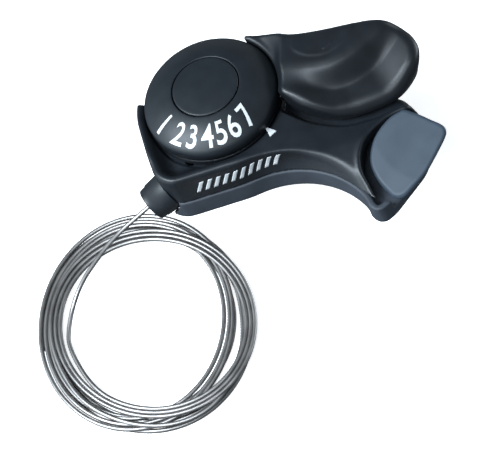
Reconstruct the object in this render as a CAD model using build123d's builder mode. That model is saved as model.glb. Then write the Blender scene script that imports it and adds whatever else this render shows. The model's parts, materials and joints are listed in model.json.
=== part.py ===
"""Right-hand seven-speed thumb shifter with its inner cable, in millimetres.

Origin: the centre of the handlebar clamp's bore. +X runs along the handlebar to the grip, -Y faces the
rider and +Z points up, along the dial's axis. Plan shapes are drawn from the dial's axis.
"""
import os
from math import cos, pi, radians, sin, tan

from build123d import *

# Driving dimensions
BAR_R = 11.1                    # 22.2 mm handlebar
BAND_T = 1.6                    # clamp band
CLAMP_W = 12.0
FLOOR_Z = -(BAR_R + BAND_T)     # the surface under the clamp, on which the cable lies

DIAL_X, DIAL_Y = -8.0, -9.0     # dial axis
DIAL_R = 18.0
RIM_Z = 30.5                    # dial's rim
CAP_Z = 35.0                    # top of the dial's dome
CAP_R = 9.3

BASE_Z = 12.5                   # underside of the housing
SPLIT_Z = 18.5                  # parting line of the two housing halves
ROOF_Z = 22.2                   # housing top under the lever and round the trigger
WALL_TOP_Z = 27.5               # deck beside the dial
GUARD_TOP_Z = 29.2              # guard wall round the dial's left side and rider's side
WALL = 1.8
HOUSING_R = 21.8

GEARS = 7
CLICK = 17.0                    # lever angle for one gear
LEVER_FROM, LEVER_TO = -33.0, 152.0   # the sector kept free for the lever
LEVER_LOW_Z, LEVER_TOP_Z = 22.8, 34.5

CABLE_D = 1.2
GROOVE_R = 10.7                 # cable's centreline on the drum
GROOVE_Z = 22.5
DIAL_FLOOR_Z = 24.5             # floor of the recess round the dial
RUN_GAP = 0.35                  # between pieces that move past each other
FIT = 0.05                      # round a shaft or pin

AXLE_R = 3.0
BUSH_R = 4.5
PLATE_Z = 15.7                  # mechanism plate on the housing floor
PLATE_T = 1.0
PAWL_Z, PAWL_T = 17.4, 1.7      # pawl and ratchet wheel
TRIGGER_PIN = (42.0, -20.0)
PAWL_PIN = (20.0, -16.0)
PIN_R = 1.5


def level(z, x=0.0, y=0.0):
    """A horizontal plane at height z, centred x, y from the dial's axis."""
    return Plane(origin=(DIAL_X + x, DIAL_Y + y, z))


def place(x, y, z):
    """A point given from the dial's axis and the rim's height."""
    return Vector(DIAL_X + x, DIAL_Y + y, RIM_Z + z)


def along(start, end, x_dir=(0, 0, 1)):
    """A plane at start whose normal points at end."""
    return Plane(origin=start, x_dir=x_dir, z_dir=(end - start).normalized())


def cross_recess(spots, length, width):
    """A cross-head driver's recess at each spot of the sketch being drawn."""
    with spots:
        Rectangle(length, width)
        Rectangle(width, length)


def finish(piece, label):
    """Names a piece and writes it."""
    piece.part.label = label
    export_step(piece.part, f"parts/{label}.step")


os.makedirs("parts", exist_ok=True)

# ---------------------------------------------------------------- handlebar clamp
EAR_Y = 16.4                    # clamp screw's axis
EAR_OUT = 20.0
EAR_T = 3.5
EAR_ROUND = 2.5
SLIT = 2.0
SCREW_R = 2.5
SCREW_FREE = 0.2
SADDLE_Z, SADDLE_T, SADDLE_R = 12.2, 2.0, 11.0
NECK_Y, NECK_Z = 1.5, 10.6      # block between the band and the saddle plate
NECK_W, NECK_H = 9.0, 3.4
AXLE_HEAD_R, AXLE_HEAD_T = 4.4, 1.0
BRACKET_SCREW_R = 1.5
bracket_spots = PolarLocations(8.0, 2, start_angle=110, angular_range=140, endpoint=True)

with BuildPart() as handlebar_clamp:
    with BuildSketch(Plane.YZ.offset(-CLAMP_W / 2)):
        Circle(BAR_R + BAND_T)
        with Locations((NECK_Y, NECK_Z)):
            Rectangle(NECK_W, NECK_H)
        with Locations((EAR_OUT / 2 + BAR_R / 2, 0)):
            Rectangle(EAR_OUT - BAR_R, SLIT + 2 * EAR_T)
    extrude(amount=CLAMP_W)
    with BuildSketch(level(SADDLE_Z)):
        Circle(SADDLE_R)
    extrude(amount=SADDLE_T)
    with BuildSketch(Plane.YZ.offset(-CLAMP_W / 2)):
        Circle(BAR_R)
        with Locations((BAR_R / 2 + EAR_OUT / 2 + 1, 0)):
            Rectangle(EAR_OUT - BAR_R + 6, SLIT)
    extrude(amount=CLAMP_W, mode=Mode.SUBTRACT)
    with BuildSketch(Plane(origin=(0, EAR_Y, 0))):
        Circle(SCREW_R + SCREW_FREE)
    extrude(amount=SLIT + EAR_T, both=True, mode=Mode.SUBTRACT)
    with BuildSketch(level(SADDLE_Z)):
        Circle(AXLE_R)
        with bracket_spots:
            Circle(BRACKET_SCREW_R)
    extrude(amount=SADDLE_T, mode=Mode.SUBTRACT)
    with BuildSketch(level(SADDLE_Z)):
        Circle(AXLE_HEAD_R)
    extrude(amount=AXLE_HEAD_T, mode=Mode.SUBTRACT)
    ear_corners = handlebar_clamp.edges().filter_by(Axis.Z).group_by(Axis.Y)[-1]
    fillet(ear_corners, EAR_ROUND)
finish(handlebar_clamp, "handlebar_clamp")

EAR_TOP = SLIT / 2 + EAR_T
HEAD_R, HEAD_H = 4.25, 5.0
HEX_HALF, HEX_DEPTH = 2.0, 2.6  # hexagon socket, half across its flats
NUT_HALF, NUT_H = 4.0, 4.0
THREAD_OUT = 1.5                # thread showing past the nut
with BuildPart() as clamp_screw:
    with BuildSketch(Plane(origin=(0, EAR_Y, EAR_TOP))):
        Circle(HEAD_R)
    extrude(amount=HEAD_H)
    with BuildSketch(Plane(origin=(0, EAR_Y, EAR_TOP + HEAD_H))):
        RegularPolygon(HEX_HALF, 6, major_radius=False)
    extrude(amount=-HEX_DEPTH, mode=Mode.SUBTRACT)
    chamfer(clamp_screw.faces().sort_by(Axis.Z)[-1].outer_wire().edges(), 0.4)
    with BuildSketch(Plane(origin=(0, EAR_Y, EAR_TOP))):
        Circle(SCREW_R)
    extrude(amount=-(2 * EAR_TOP + NUT_H + THREAD_OUT))
finish(clamp_screw, "clamp_screw")

with BuildPart() as clamp_nut:
    with BuildSketch(Plane(origin=(0, EAR_Y, -EAR_TOP))):
        RegularPolygon(NUT_HALF, 6, major_radius=False)
        Circle(SCREW_R, mode=Mode.SUBTRACT)
    extrude(amount=-NUT_H)
finish(clamp_nut, "clamp_nut")

BRACKET_HEAD_R, BRACKET_HEAD_H = 2.8, 1.8
with BuildPart() as bracket_screws:
    with BuildSketch(level(SADDLE_Z)):
        with bracket_spots:
            Circle(BRACKET_HEAD_R)
    extrude(amount=-BRACKET_HEAD_H)
    with BuildSketch(level(SADDLE_Z - BRACKET_HEAD_H)):
        cross_recess(bracket_spots, 3.6, 0.7)
    extrude(amount=BRACKET_HEAD_H / 2, mode=Mode.SUBTRACT)
    with BuildSketch(level(SADDLE_Z)):
        with bracket_spots:
            Circle(BRACKET_SCREW_R)
    extrude(amount=PLATE_Z + PLATE_T - SADDLE_Z)
finish(bracket_screws, "bracket_screws")

# ---------------------------------------------------------------- housing

# Round the dial, then a waisted arm out to the trigger.
with BuildSketch() as housing_plan:
    with BuildLine():
        back = CenterArc((0, 0), HOUSING_R, -16, 196)
        flank = Line(back @ 1, (-HOUSING_R, -13.5))
        corner = TangentArc(flank @ 1, (-16.0, -21.5), tangent=flank % 1)
        front = Line(corner @ 1, (1.0, -22.8))
        waist = ThreePointArc(front @ 1, (19.3, -27.5), (28.6, -41.0))
        Polyline(waist @ 1, (30.9, -44.6), (35.0, -44.4), (45.7, -35.8), (49.6, -29.0),
                 (50.2, -23.0), (47.5, -16.0), (38.0, -10.5), back @ 0)
    make_face()

with BuildSketch() as chamber_plan:
    add(housing_plan.sketch)
    offset(amount=-WALL, kind=Kind.INTERSECTION, mode=Mode.REPLACE)

# The release trigger's button seen from above, and the bay it moves in, open on its right.
with BuildSketch() as trigger_plan:
    with BuildLine():
        inner = Spline((46.2, -22.2), (41.2, -23.7), (35.8, -27.0), (33.0, -32.4), (34.5, -39.5))
        toe = ThreePointArc(inner @ 1, (36.6, -42.4), (40.0, -42.3))
        Polyline(toe @ 1, (46.5, -39.4), (51.5, -36.6), (55.1, -33.0), (54.6, -30.8),
                 (49.7, -25.3), inner @ 0)
    make_face()

with BuildSketch() as bay_plan:
    with BuildLine():
        bay_inner = Spline((50.0, -20.6), (41.2, -21.4), (33.9, -26.0), (30.9, -32.4), (31.4, -38.5))
        bay_toe = ThreePointArc(bay_inner @ 1, (33.8, -42.6), (39.4, -43.6))
        Polyline(bay_toe @ 1, (60.0, -40.0), (60.0, -22.0), bay_inner @ 0)
    make_face()

# Everything in the sector that the lever sweeps.
REACH = 70
with BuildSketch() as lever_sector:
    with BuildLine():
        Polyline((0, 0), (REACH * cos(radians(LEVER_FROM)), REACH * sin(radians(LEVER_FROM))),
                 (REACH, REACH), (-REACH, REACH),
                 (REACH * cos(radians(LEVER_TO)), REACH * sin(radians(LEVER_TO))), (0, 0))
    make_face()

# The cable leaves the drum at a tangent, level at first, then down to the stop's mouth.
STOP_END = place(-24.9, -15.9, -14.0)
LEAVE = Vector(0.980, 0.198, 0)          # horizontal direction back along the cable
DRUM_EXIT = level(GROOVE_Z).origin + Vector(LEAVE.Y, -LEAVE.X, 0) * GROOVE_R
BEND = DRUM_EXIT - LEAVE * 7.5
STOP_DIR = (STOP_END - BEND).normalized()
STOP_LEN = 6.5                           # the part outside the housing
STOP_SEAT = STOP_END - STOP_DIR * STOP_LEN
STOP_R, STOP_END_R = 5.5, 4.65
STOP_STEM, STEM_LEN = 3.4, 4.0
SEAT_R = STOP_R + 0.2
CASING_R, CASING_DEPTH = 2.55, 5.0       # socket for the 5 mm casing's end
LINER_R, LINER_LEN = 1.5, 4.0
CABLE_HOLE_R = 0.75
WELL_R = 14.4
CHAMBER_TOP = ROOF_Z - 2.0
CHAMBER_FRONT = -27.0           # the mechanism chamber stops short of the arm's tip
THROUGH = 20.0                  # deep enough to cut right through any wall

HOUSING_SCREWS = [(-17.3, -5.0), (-5.9, 17.0), (17.3, 5.0), (22.0, -24.3)]
POST_R = 2.2
HOUSING_SCREW_R = 1.0
POST_HOLE = 4.0

# Above the deck: level by the pointer, then sloping down to the roof's height.
DECK_WAY = Vector(cos(radians(-37.5)), sin(radians(-37.5)), 0)
DECK_LEVEL, DECK_FALL = 20.0, 0.278
TIP_FROM, TIP_FALL = -28.0, 0.29         # the arm's tip falls away to the rider
with BuildPart() as over_deck:
    with BuildSketch(Plane(origin=level(WALL_TOP_Z).origin + DECK_WAY * DECK_LEVEL,
                           x_dir=(-DECK_WAY.Y, DECK_WAY.X, 0),
                           z_dir=Vector(0, 0, 1) + DECK_WAY * DECK_FALL)):
        Rectangle(120, 120)
    extrude(amount=THROUGH)
    split(bisect_by=Plane(origin=(0, 0, ROOF_Z)), keep=Keep.TOP)

with BuildPart() as lower_housing:
    with BuildSketch(level(BASE_Z)):
        add(housing_plan.sketch)
    extrude(amount=SPLIT_Z - BASE_Z)
    with BuildSketch(level(BASE_Z)):
        add(chamber_plan.sketch)
    extrude(amount=SADDLE_Z + SADDLE_T - BASE_Z, mode=Mode.SUBTRACT)
    with BuildSketch(level(PLATE_Z)):
        add(chamber_plan.sketch)
    extrude(amount=SPLIT_Z - PLATE_Z, mode=Mode.SUBTRACT)
    with BuildSketch(level(BASE_Z)):
        Circle(AXLE_R)
        with bracket_spots:
            Circle(BRACKET_SCREW_R)
        with Locations(*HOUSING_SCREWS):
            Circle(HOUSING_SCREW_R)
    extrude(amount=SPLIT_Z - BASE_Z, mode=Mode.SUBTRACT)
    with BuildSketch(along(STOP_SEAT, STOP_END)):
        Circle(SEAT_R)
    extrude(amount=THROUGH, mode=Mode.SUBTRACT)
    with BuildSketch(along(STOP_SEAT, BEND)):
        Circle(STOP_STEM)
    extrude(amount=STEM_LEN + LINER_LEN, mode=Mode.SUBTRACT)
    with BuildSketch(level(PLATE_Z)):
        add(bay_plan.sketch)
    extrude(amount=THROUGH, mode=Mode.SUBTRACT)
finish(lower_housing, "lower_housing")

with BuildPart() as upper_housing:
    with BuildSketch(level(SPLIT_Z)):
        add(housing_plan.sketch)
    extrude(amount=GUARD_TOP_Z - SPLIT_Z)
    # mechanism chamber, drum well and dial recess
    with BuildSketch(level(SPLIT_Z)):
        add(chamber_plan.sketch)
        with Locations((0, CHAMBER_FRONT)):
            Rectangle(2 * REACH, REACH, align=(Align.CENTER, Align.MAX), mode=Mode.SUBTRACT)
    extrude(amount=CHAMBER_TOP - SPLIT_Z, mode=Mode.SUBTRACT)
    with BuildSketch(level(PLATE_Z)):
        with Locations(*HOUSING_SCREWS):
            Circle(POST_R)
        add(chamber_plan.sketch, mode=Mode.INTERSECT)
    extrude(amount=ROOF_Z - 1.0 - PLATE_Z)
    with BuildSketch(level(PLATE_Z)):
        Circle(WELL_R)
    extrude(amount=THROUGH, mode=Mode.SUBTRACT)
    with BuildSketch(level(PLATE_Z)):
        with Locations(*HOUSING_SCREWS):
            Circle(HOUSING_SCREW_R)
    extrude(amount=POST_HOLE, mode=Mode.SUBTRACT)
    with BuildSketch(level(DIAL_FLOOR_Z)):
        Circle(DIAL_R + 0.6)
    extrude(amount=THROUGH, mode=Mode.SUBTRACT)
    with BuildSketch(level(ROOF_Z)):
        add(lever_sector.sketch)
    extrude(amount=THROUGH, mode=Mode.SUBTRACT)
    # the deck, lower than the guard to the right of the dial's axis
    add(over_deck.part, mode=Mode.SUBTRACT)
    with BuildSketch(level(WALL_TOP_Z)):
        Rectangle(REACH, REACH, align=(Align.MIN, Align.MAX))
    extrude(amount=THROUGH, mode=Mode.SUBTRACT)
    with BuildSketch(Plane(origin=place(0, TIP_FROM, ROOF_Z - RIM_Z), x_dir=(1, 0, 0),
                           z_dir=(0, -TIP_FALL, 1))):
        Rectangle(REACH, REACH, align=(Align.MIN, Align.MAX))
    extrude(amount=THROUGH, mode=Mode.SUBTRACT)
    # trigger bay, open on its right
    with BuildSketch(level(SPLIT_Z)):
        add(bay_plan.sketch)
    extrude(amount=THROUGH, mode=Mode.SUBTRACT)
    # cable stop's seat, its stem and the cable's way out of the well
    with BuildSketch(along(STOP_SEAT, STOP_END)):
        Circle(SEAT_R)
    extrude(amount=THROUGH, mode=Mode.SUBTRACT)
    with BuildSketch(along(STOP_SEAT, BEND)):
        Circle(STOP_STEM)
    extrude(amount=STEM_LEN + LINER_LEN, mode=Mode.SUBTRACT)
    with BuildSketch(along(STOP_SEAT, BEND)):
        Circle(LINER_R + 0.1)
    extrude(amount=16, mode=Mode.SUBTRACT)
finish(upper_housing, "upper_housing")

# ---------------------------------------------------------------- fixed mechanism
with BuildPart() as mechanism_plate:
    with BuildSketch(level(PLATE_Z)):
        with BuildLine():
            Polyline((-12, 9), (9, 9), (16, -9), (39, -12.5), (44.5, -17.5), (43.5, -21.7),
                     (20.0, -20.0), (-12, -13), (-12, 9))
        make_face()
        with Locations(TRIGGER_PIN, PAWL_PIN):
            Circle(PIN_R, mode=Mode.SUBTRACT)
        with bracket_spots:
            Circle(BRACKET_SCREW_R, mode=Mode.SUBTRACT)
        Circle(AXLE_R, mode=Mode.SUBTRACT)
        add(chamber_plan.sketch, mode=Mode.INTERSECT)
    extrude(amount=PLATE_T)
finish(mechanism_plate, "mechanism_plate")

WASHER_Z, WASHER_R = 27.3, 6.0
NUT_Z = 28.1
AXLE_NUT_HALF, AXLE_NUT_H = 5.0, 2.6
AXLE_TOP = 31.4
with BuildPart() as main_axle:
    with BuildSketch(level(SADDLE_Z)):
        Circle(AXLE_HEAD_R)
    extrude(amount=AXLE_HEAD_T)
    with BuildSketch(level(SADDLE_Z)):
        Circle(AXLE_R)
    extrude(amount=AXLE_TOP - SADDLE_Z)
    chamfer(main_axle.faces().sort_by(Axis.Z)[-1].edges(), 0.5)
finish(main_axle, "main_axle")

with BuildPart() as axle_washer:
    with BuildSketch(level(WASHER_Z)):
        Circle(WASHER_R)
        Circle(AXLE_R, mode=Mode.SUBTRACT)
    extrude(amount=NUT_Z - WASHER_Z)
finish(axle_washer, "axle_washer")

with BuildPart() as axle_nut:
    with BuildSketch(level(NUT_Z)):
        RegularPolygon(AXLE_NUT_HALF, 6, major_radius=False)
        Circle(AXLE_R, mode=Mode.SUBTRACT)
    extrude(amount=AXLE_NUT_H)
finish(axle_nut, "axle_nut")

WAVE_R, WAVE_BORE, WAVE_T = 7.5, 5.2, 0.4
with BuildPart() as wave_washer:
    with BuildSketch(level(PLATE_Z + PLATE_T)):
        Circle(WAVE_R)
        Circle(WAVE_BORE, mode=Mode.SUBTRACT)
    extrude(amount=WAVE_T)
finish(wave_washer, "wave_washer")

for label, spot in (("trigger_pin", TRIGGER_PIN), ("pawl_pin", PAWL_PIN)):
    with BuildPart() as pin:
        with BuildSketch(level(PLATE_Z, *spot)):
            Circle(PIN_R)
        extrude(amount=CHAMBER_TOP - PLATE_Z)
    finish(pin, label)

# ---------------------------------------------------------------- springs
SPRING_MEAN_R, SPRING_WIRE, SPRING_Z = 6.4, 0.8, 19.8
PIN_SPRING_R, PIN_SPRING_WIRE = 2.6, 0.4
PIN_SPRING_Z = PAWL_Z + PAWL_T + 0.25
COIL_PITCH = 1.25               # in wire diameters


def coil_spring(label, mean_r, wire, turns, base):
    """A round-wire coil standing on the plane base."""
    pitch = wire * COIL_PITCH
    with BuildPart() as spring:
        with BuildLine(base):
            wire_path = Helix(pitch=pitch, height=pitch * turns, radius=mean_r)
        with BuildSketch(wire_path ^ 0):
            Circle(wire / 2)
        sweep(is_frenet=True)
    finish(spring, label)


coil_spring("return_spring", SPRING_MEAN_R, SPRING_WIRE, 3.5, level(SPRING_Z))
for label, spot in (("trigger_spring", TRIGGER_PIN), ("pawl_spring", PAWL_PIN)):
    coil_spring(label, PIN_SPRING_R, PIN_SPRING_WIRE, 1.0, level(PIN_SPRING_Z, *spot))

# ---------------------------------------------------------------- moving mechanism
BUSH_LOW, HUB_TOP = PLATE_Z + PLATE_T + 0.3, WASHER_Z - 0.3
RATCHET_TIP, RATCHET_ROOT = 13.0, 11.6
PAWL_ANGLE = -50.0              # where the pawl's nose meets the wheel
DRUM_LOW, DRUM_TOP = PAWL_Z + PAWL_T, 24.6
FLANGE_R = 13.2
GROOVE_HALF = 1.2
HUB_LOW = 24.9

with BuildPart() as hub_bush:
    with BuildSketch(level(BUSH_LOW)):
        Circle(BUSH_R)
        Circle(AXLE_R + FIT, mode=Mode.SUBTRACT)
    extrude(amount=HUB_TOP - BUSH_LOW)
finish(hub_bush, "hub_bush")

with BuildPart() as ratchet_wheel:
    with BuildSketch(level(PAWL_Z)):
        Circle(RATCHET_TIP)
        Circle(BUSH_R, mode=Mode.SUBTRACT)
        with PolarLocations(RATCHET_TIP + 0.2, GEARS, start_angle=PAWL_ANGLE - (GEARS - 1) * CLICK,
                            angular_range=(GEARS - 1) * CLICK, endpoint=True):
            Circle(RATCHET_TIP - RATCHET_ROOT, mode=Mode.SUBTRACT)
    extrude(amount=PAWL_T)
finish(ratchet_wheel, "ratchet_wheel")

# The drum: a groove for the cable, a well for the return spring and a seat for the cable's head.
SPRING_IN, SPRING_OUT = 5.4, 7.3
HEAD_R, HEAD_L = 1.9, 4.0
head_centre = DRUM_EXIT + LEAVE * (1.0 + HEAD_L / 2)
with BuildPart() as cable_drum:
    with BuildSketch(Plane(origin=(DIAL_X, DIAL_Y, 0), x_dir=(1, 0, 0), z_dir=(0, -1, 0))):
        with BuildLine():
            Polyline((BUSH_R, DRUM_LOW), (SPRING_IN, DRUM_LOW), (SPRING_IN, DRUM_TOP - 0.4),
                     (SPRING_OUT, DRUM_TOP - 0.4), (SPRING_OUT, DRUM_LOW), (RATCHET_ROOT, DRUM_LOW),
                     (FLANGE_R, DRUM_LOW + 1.2), (FLANGE_R, GROOVE_Z - GROOVE_HALF),
                     (GROOVE_R - 0.9, GROOVE_Z - GROOVE_HALF), (GROOVE_R - 0.9, GROOVE_Z + GROOVE_HALF),
                     (FLANGE_R, GROOVE_Z + GROOVE_HALF), (FLANGE_R, DRUM_TOP), (BUSH_R, DRUM_TOP),
                     (BUSH_R, DRUM_LOW))
        make_face()
    revolve(axis=Axis((DIAL_X, DIAL_Y, 0), (0, 0, 1)))
    with BuildSketch(along(head_centre - LEAVE * HEAD_L / 2, head_centre)):
        Circle(HEAD_R)
    extrude(amount=HEAD_L, mode=Mode.SUBTRACT)
finish(cable_drum, "cable_drum")

with BuildPart() as cable_head:
    with BuildSketch(along(head_centre - LEAVE * HEAD_L / 2, head_centre)):
        Circle(HEAD_R)
    extrude(amount=HEAD_L)
finish(cable_head, "cable_head")

# ---------------------------------------------------------------- lever and dial
DIAL_SCREW_R, DIAL_POST_R = 1.0, 2.4
dial_screw_spots = PolarLocations(13.4, 3, start_angle=30)
THUMB_FROM, THUMB_FALL = -5.0, 0.46      # the thumb's face falls away to the rider's side
with BuildSketch() as lever_plan:
    with BuildLine():
        root = CenterArc((0, 0), DIAL_R + 0.3, -22, 68)
        Line(root @ 1, (18.0, 12.2))
        top_edge = Spline((18.0, 12.2), (26.6, 8.6), (33.6, 6.6), (40.4, 5.0), (46.2, 3.6), (50.3, 1.8),
                          (53.6, -1.4), (55.4, -5.6), (55.5, -10.1), (52.6, -14.8), (47.5, -18.2),
                          (39.5, -20.0), (31.0, -18.4), (24.0, -13.6), (19.4, -8.9))
        Line(top_edge @ 1, root @ 0)
    make_face()

with BuildPart() as thumb_lever:
    with BuildSketch(level(LEVER_LOW_Z)):
        add(lever_plan.sketch)
    extrude(amount=LEVER_TOP_Z - LEVER_LOW_Z)
    with BuildSketch(Plane(origin=place(0, THUMB_FROM, LEVER_TOP_Z - RIM_Z), x_dir=(1, 0, 0),
                           z_dir=(0, -THUMB_FALL, 1))):
        Rectangle(2 * REACH, REACH, align=(Align.CENTER, Align.MAX))
    extrude(amount=THROUGH, mode=Mode.SUBTRACT)
    with BuildSketch(level(HUB_LOW)):
        Circle(DIAL_R)
        with BuildLine():
            Polyline((0, 0), (17.6, 11.0), (21.0, 9.0), (21.0, -8.0), (16.5, -7.6), (0, 0))
        make_face()
        Circle(BUSH_R, mode=Mode.SUBTRACT)
        with dial_screw_spots:
            Circle(DIAL_SCREW_R, mode=Mode.SUBTRACT)
    extrude(amount=HUB_TOP - HUB_LOW)
finish(thumb_lever, "thumb_lever")

DIAL_SCREW_IN = 3.4             # the dial screws' reach into its posts
CAP_T = 1.4
LEDGE_R, LEDGE_T = 7.6, 1.2     # the ledge that the cap sits on
with BuildPart() as dial_ring:
    with BuildSketch(Plane(origin=(DIAL_X, DIAL_Y, 0), x_dir=(1, 0, 0), z_dir=(0, -1, 0))):
        with BuildLine():
            dome = ThreePointArc((DIAL_R - 0.4, RIM_Z + 0.4), (13.8, 33.4), (CAP_R, CAP_Z))
            Polyline(dome @ 1, (CAP_R, CAP_Z - CAP_T), (LEDGE_R, CAP_Z - CAP_T),
                     (LEDGE_R, CAP_Z - CAP_T - LEDGE_T), (12.4, 31.6), (16.4, 29.4),
                     (16.4, HUB_TOP), (DIAL_R, HUB_TOP), (DIAL_R, RIM_Z), dome @ 0)
        make_face()
    revolve(axis=Axis((DIAL_X, DIAL_Y, 0), (0, 0, 1)))
    with BuildSketch(level(HUB_TOP)):
        with dial_screw_spots:
            Circle(DIAL_POST_R)
    extrude(amount=4.4)
    with BuildSketch(level(HUB_TOP)):
        with dial_screw_spots:
            Circle(DIAL_SCREW_R)
    extrude(amount=DIAL_SCREW_IN + 0.2, mode=Mode.SUBTRACT)
finish(dial_ring, "dial_ring")

with BuildPart() as centre_cap:
    with BuildSketch(level(CAP_Z - CAP_T)):
        Circle(CAP_R - 0.1)
    extrude(amount=CAP_T + 0.2)
    fillet(centre_cap.faces().sort_by(Axis.Z)[-1].edges(), 0.5)
finish(centre_cap, "centre_cap")

with BuildPart() as dial_screws:
    with BuildSketch(level(HUB_LOW)):
        with dial_screw_spots:
            Circle(DIAL_SCREW_R)
    extrude(amount=HUB_TOP - HUB_LOW + DIAL_SCREW_IN)
finish(dial_screws, "dial_screws")

# ---------------------------------------------------------------- pawl and trigger
NOSE_R = RATCHET_TIP + RUN_GAP + 0.1
PIN_BOSS_R = 2.6
nose = Vector(NOSE_R * cos(radians(PAWL_ANGLE)), NOSE_R * sin(radians(PAWL_ANGLE)))
with BuildPart() as holding_pawl:
    with BuildSketch(level(PAWL_Z)):
        with BuildLine():
            Polyline((nose.X, nose.Y), (nose.X + 2.6, nose.Y - 0.4), (18.0, -13.4), (21.0, -13.4),
                     (26.8, -14.6), (26.8, -16.0), (22.0, -17.8), (18.6, -18.2), (nose.X, nose.Y))
        make_face()
        with Locations(PAWL_PIN):
            Circle(PIN_BOSS_R)
            Circle(PIN_R + FIT, mode=Mode.SUBTRACT)
    extrude(amount=PAWL_T)
finish(holding_pawl, "holding_pawl")

with BuildPart() as trigger_arm:
    with BuildSketch(level(PAWL_Z)):
        with BuildLine():
            Polyline((26.0, -17.0), (38.5, -17.4), (42.0, -17.2), (45.2, -20.0), (47.5, -27.0),
                     (43.0, -34.0), (38.6, -34.5), (39.4, -22.0), (26.0, -18.8), (26.0, -17.0))
        make_face()
        with Locations(TRIGGER_PIN):
            Circle(PIN_R + FIT, mode=Mode.SUBTRACT)
    extrude(amount=PAWL_T)
finish(trigger_arm, "trigger_arm")

# The button: its top slopes down to the toe, and a slot in it takes the arm.
TRIGGER_LOW_Z = PLATE_Z + 0.4
TRIGGER_SLOPE = Vector(-0.21, -0.28, 1)
with BuildPart() as release_trigger:
    with BuildSketch(level(TRIGGER_LOW_Z)):
        add(trigger_plan.sketch)
    extrude(amount=10)
    with BuildSketch(Plane(origin=place(48, -27, -5.8), x_dir=(1, -0.75, 0), z_dir=TRIGGER_SLOPE)):
        Rectangle(REACH, REACH)
    extrude(amount=THROUGH, mode=Mode.SUBTRACT)
    with BuildSketch(level(PAWL_Z)):
        with BuildLine():
            Polyline((25.0, -10.0), (45.4, -10.0), (45.5, -20.0), (47.8, -27.0), (43.1, -34.3),
                     (38.3, -34.8), (25.0, -22.0), (25.0, -10.0))
        make_face()
    extrude(amount=PAWL_T, mode=Mode.SUBTRACT)
finish(release_trigger, "release_trigger")

# ---------------------------------------------------------------- cable
with BuildPart() as cable_stop:
    with BuildSketch(along(STOP_SEAT, STOP_END)):
        Circle(STOP_R)
    with BuildSketch(along(STOP_END, STOP_END + STOP_DIR)):
        Circle(STOP_END_R)
    loft()
    with BuildSketch(along(STOP_SEAT, BEND)):
        Circle(STOP_STEM)
    extrude(amount=STEM_LEN)
    with BuildSketch(along(STOP_END, STOP_SEAT)):
        Circle(CASING_R)
    extrude(amount=CASING_DEPTH, mode=Mode.SUBTRACT)
    with BuildSketch(along(STOP_END, STOP_SEAT)):
        Circle(CABLE_HOLE_R)
    extrude(amount=THROUGH, mode=Mode.SUBTRACT)
finish(cable_stop, "cable_stop")

with BuildPart() as cable_liner:
    with BuildSketch(along(STOP_SEAT - STOP_DIR * STEM_LEN, BEND)):
        Circle(LINER_R)
        Circle(CABLE_HOLE_R, mode=Mode.SUBTRACT)
    extrude(amount=LINER_LEN)
finish(cable_liner, "cable_liner")

with BuildPart() as cable_inner_run:
    with BuildLine():
        inner_path = FilletPolyline(DRUM_EXIT, BEND, STOP_END, radius=20)
    with BuildSketch(along(DRUM_EXIT, BEND)):
        Circle(CABLE_D / 2)
    sweep()
finish(cable_inner_run, "cable_inner_run")

# The free cable: from the stop's mouth down to the floor, into a loose coil.
ROUTE = [
    (-24.9, -15.9, -14.0), (-32.9, -17.5, -16.4), (-39.8, -16.9, -22.0), (-45.8, -15.4, -29.6),
    (-51.6, -15.4, -35.6), (-56.4, -18.6, -39.6), (-59.6, -24.4, -40.8), (-61.2, -30.6, -41.0),
]
route = [place(*point) for point in ROUTE]


def bend_radii(points):
    """The largest radius that fits at each corner of the route."""
    radii = []
    for before, corner, after in zip(points, points[1:], points[2:]):
        half_turn = radians((corner - before).get_angle(after - corner)) / 2
        radii.append(0.45 * min((corner - before).length, (after - corner).length) / tan(half_turn))
    return radii


print("lead's bend radii", [round(r, 1) for r in bend_radii(route)])
with BuildPart() as cable_lead:
    with BuildLine():
        lead_path = FilletPolyline(*route, radius=bend_radii(route))
    with BuildSketch(along(route[0], route[1])):
        Circle(CABLE_D / 2)
    sweep()
finish(cable_lead, "cable_lead")
lead_length = lead_path.length
print("lead length", round(lead_length, 1), "volume", round(cable_lead.part.volume, 2),
      "section times length", round(pi * CABLE_D ** 2 / 4 * lead_length, 2))

COIL_X, COIL_Y = -38.6, -30.5
COIL_SHORT, COIL_LONG = 28.5, 34.8      # outer half axes
COIL_ANGLE = 9.6
COIL_BAND = 6.4
COIL_H = 3 * CABLE_D
coil_plane = Plane(origin=(DIAL_X + COIL_X, DIAL_Y + COIL_Y, FLOOR_Z)).rotated((0, 0, COIL_ANGLE))
with BuildPart() as cable_coil:
    with BuildSketch(coil_plane):
        Ellipse(COIL_SHORT, COIL_LONG)
        Ellipse(COIL_SHORT - COIL_BAND, COIL_LONG - COIL_BAND, mode=Mode.SUBTRACT)
    extrude(amount=COIL_H)
finish(cable_coil, "cable_coil")

# ---------------------------------------------------------------- housing screws
SCREW_HEAD_Z = SADDLE_Z + SADDLE_T
SCREW_HEAD_R, SCREW_HEAD_H = 1.8, 1.3
with BuildPart() as housing_screws:
    with BuildSketch(level(SCREW_HEAD_Z)):
        with Locations(*HOUSING_SCREWS):
            Circle(SCREW_HEAD_R)
    extrude(amount=-SCREW_HEAD_H)
    with BuildSketch(level(SCREW_HEAD_Z - SCREW_HEAD_H)):
        cross_recess(Locations(*HOUSING_SCREWS), 2.6, 0.5)
    extrude(amount=SCREW_HEAD_H / 2, mode=Mode.SUBTRACT)
    with BuildSketch(level(SCREW_HEAD_Z)):
        with Locations(*HOUSING_SCREWS):
            Circle(HOUSING_SCREW_R)
    extrude(amount=PLATE_Z + POST_HOLE - 0.4 - SCREW_HEAD_Z)
finish(housing_screws, "housing_screws")
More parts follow.
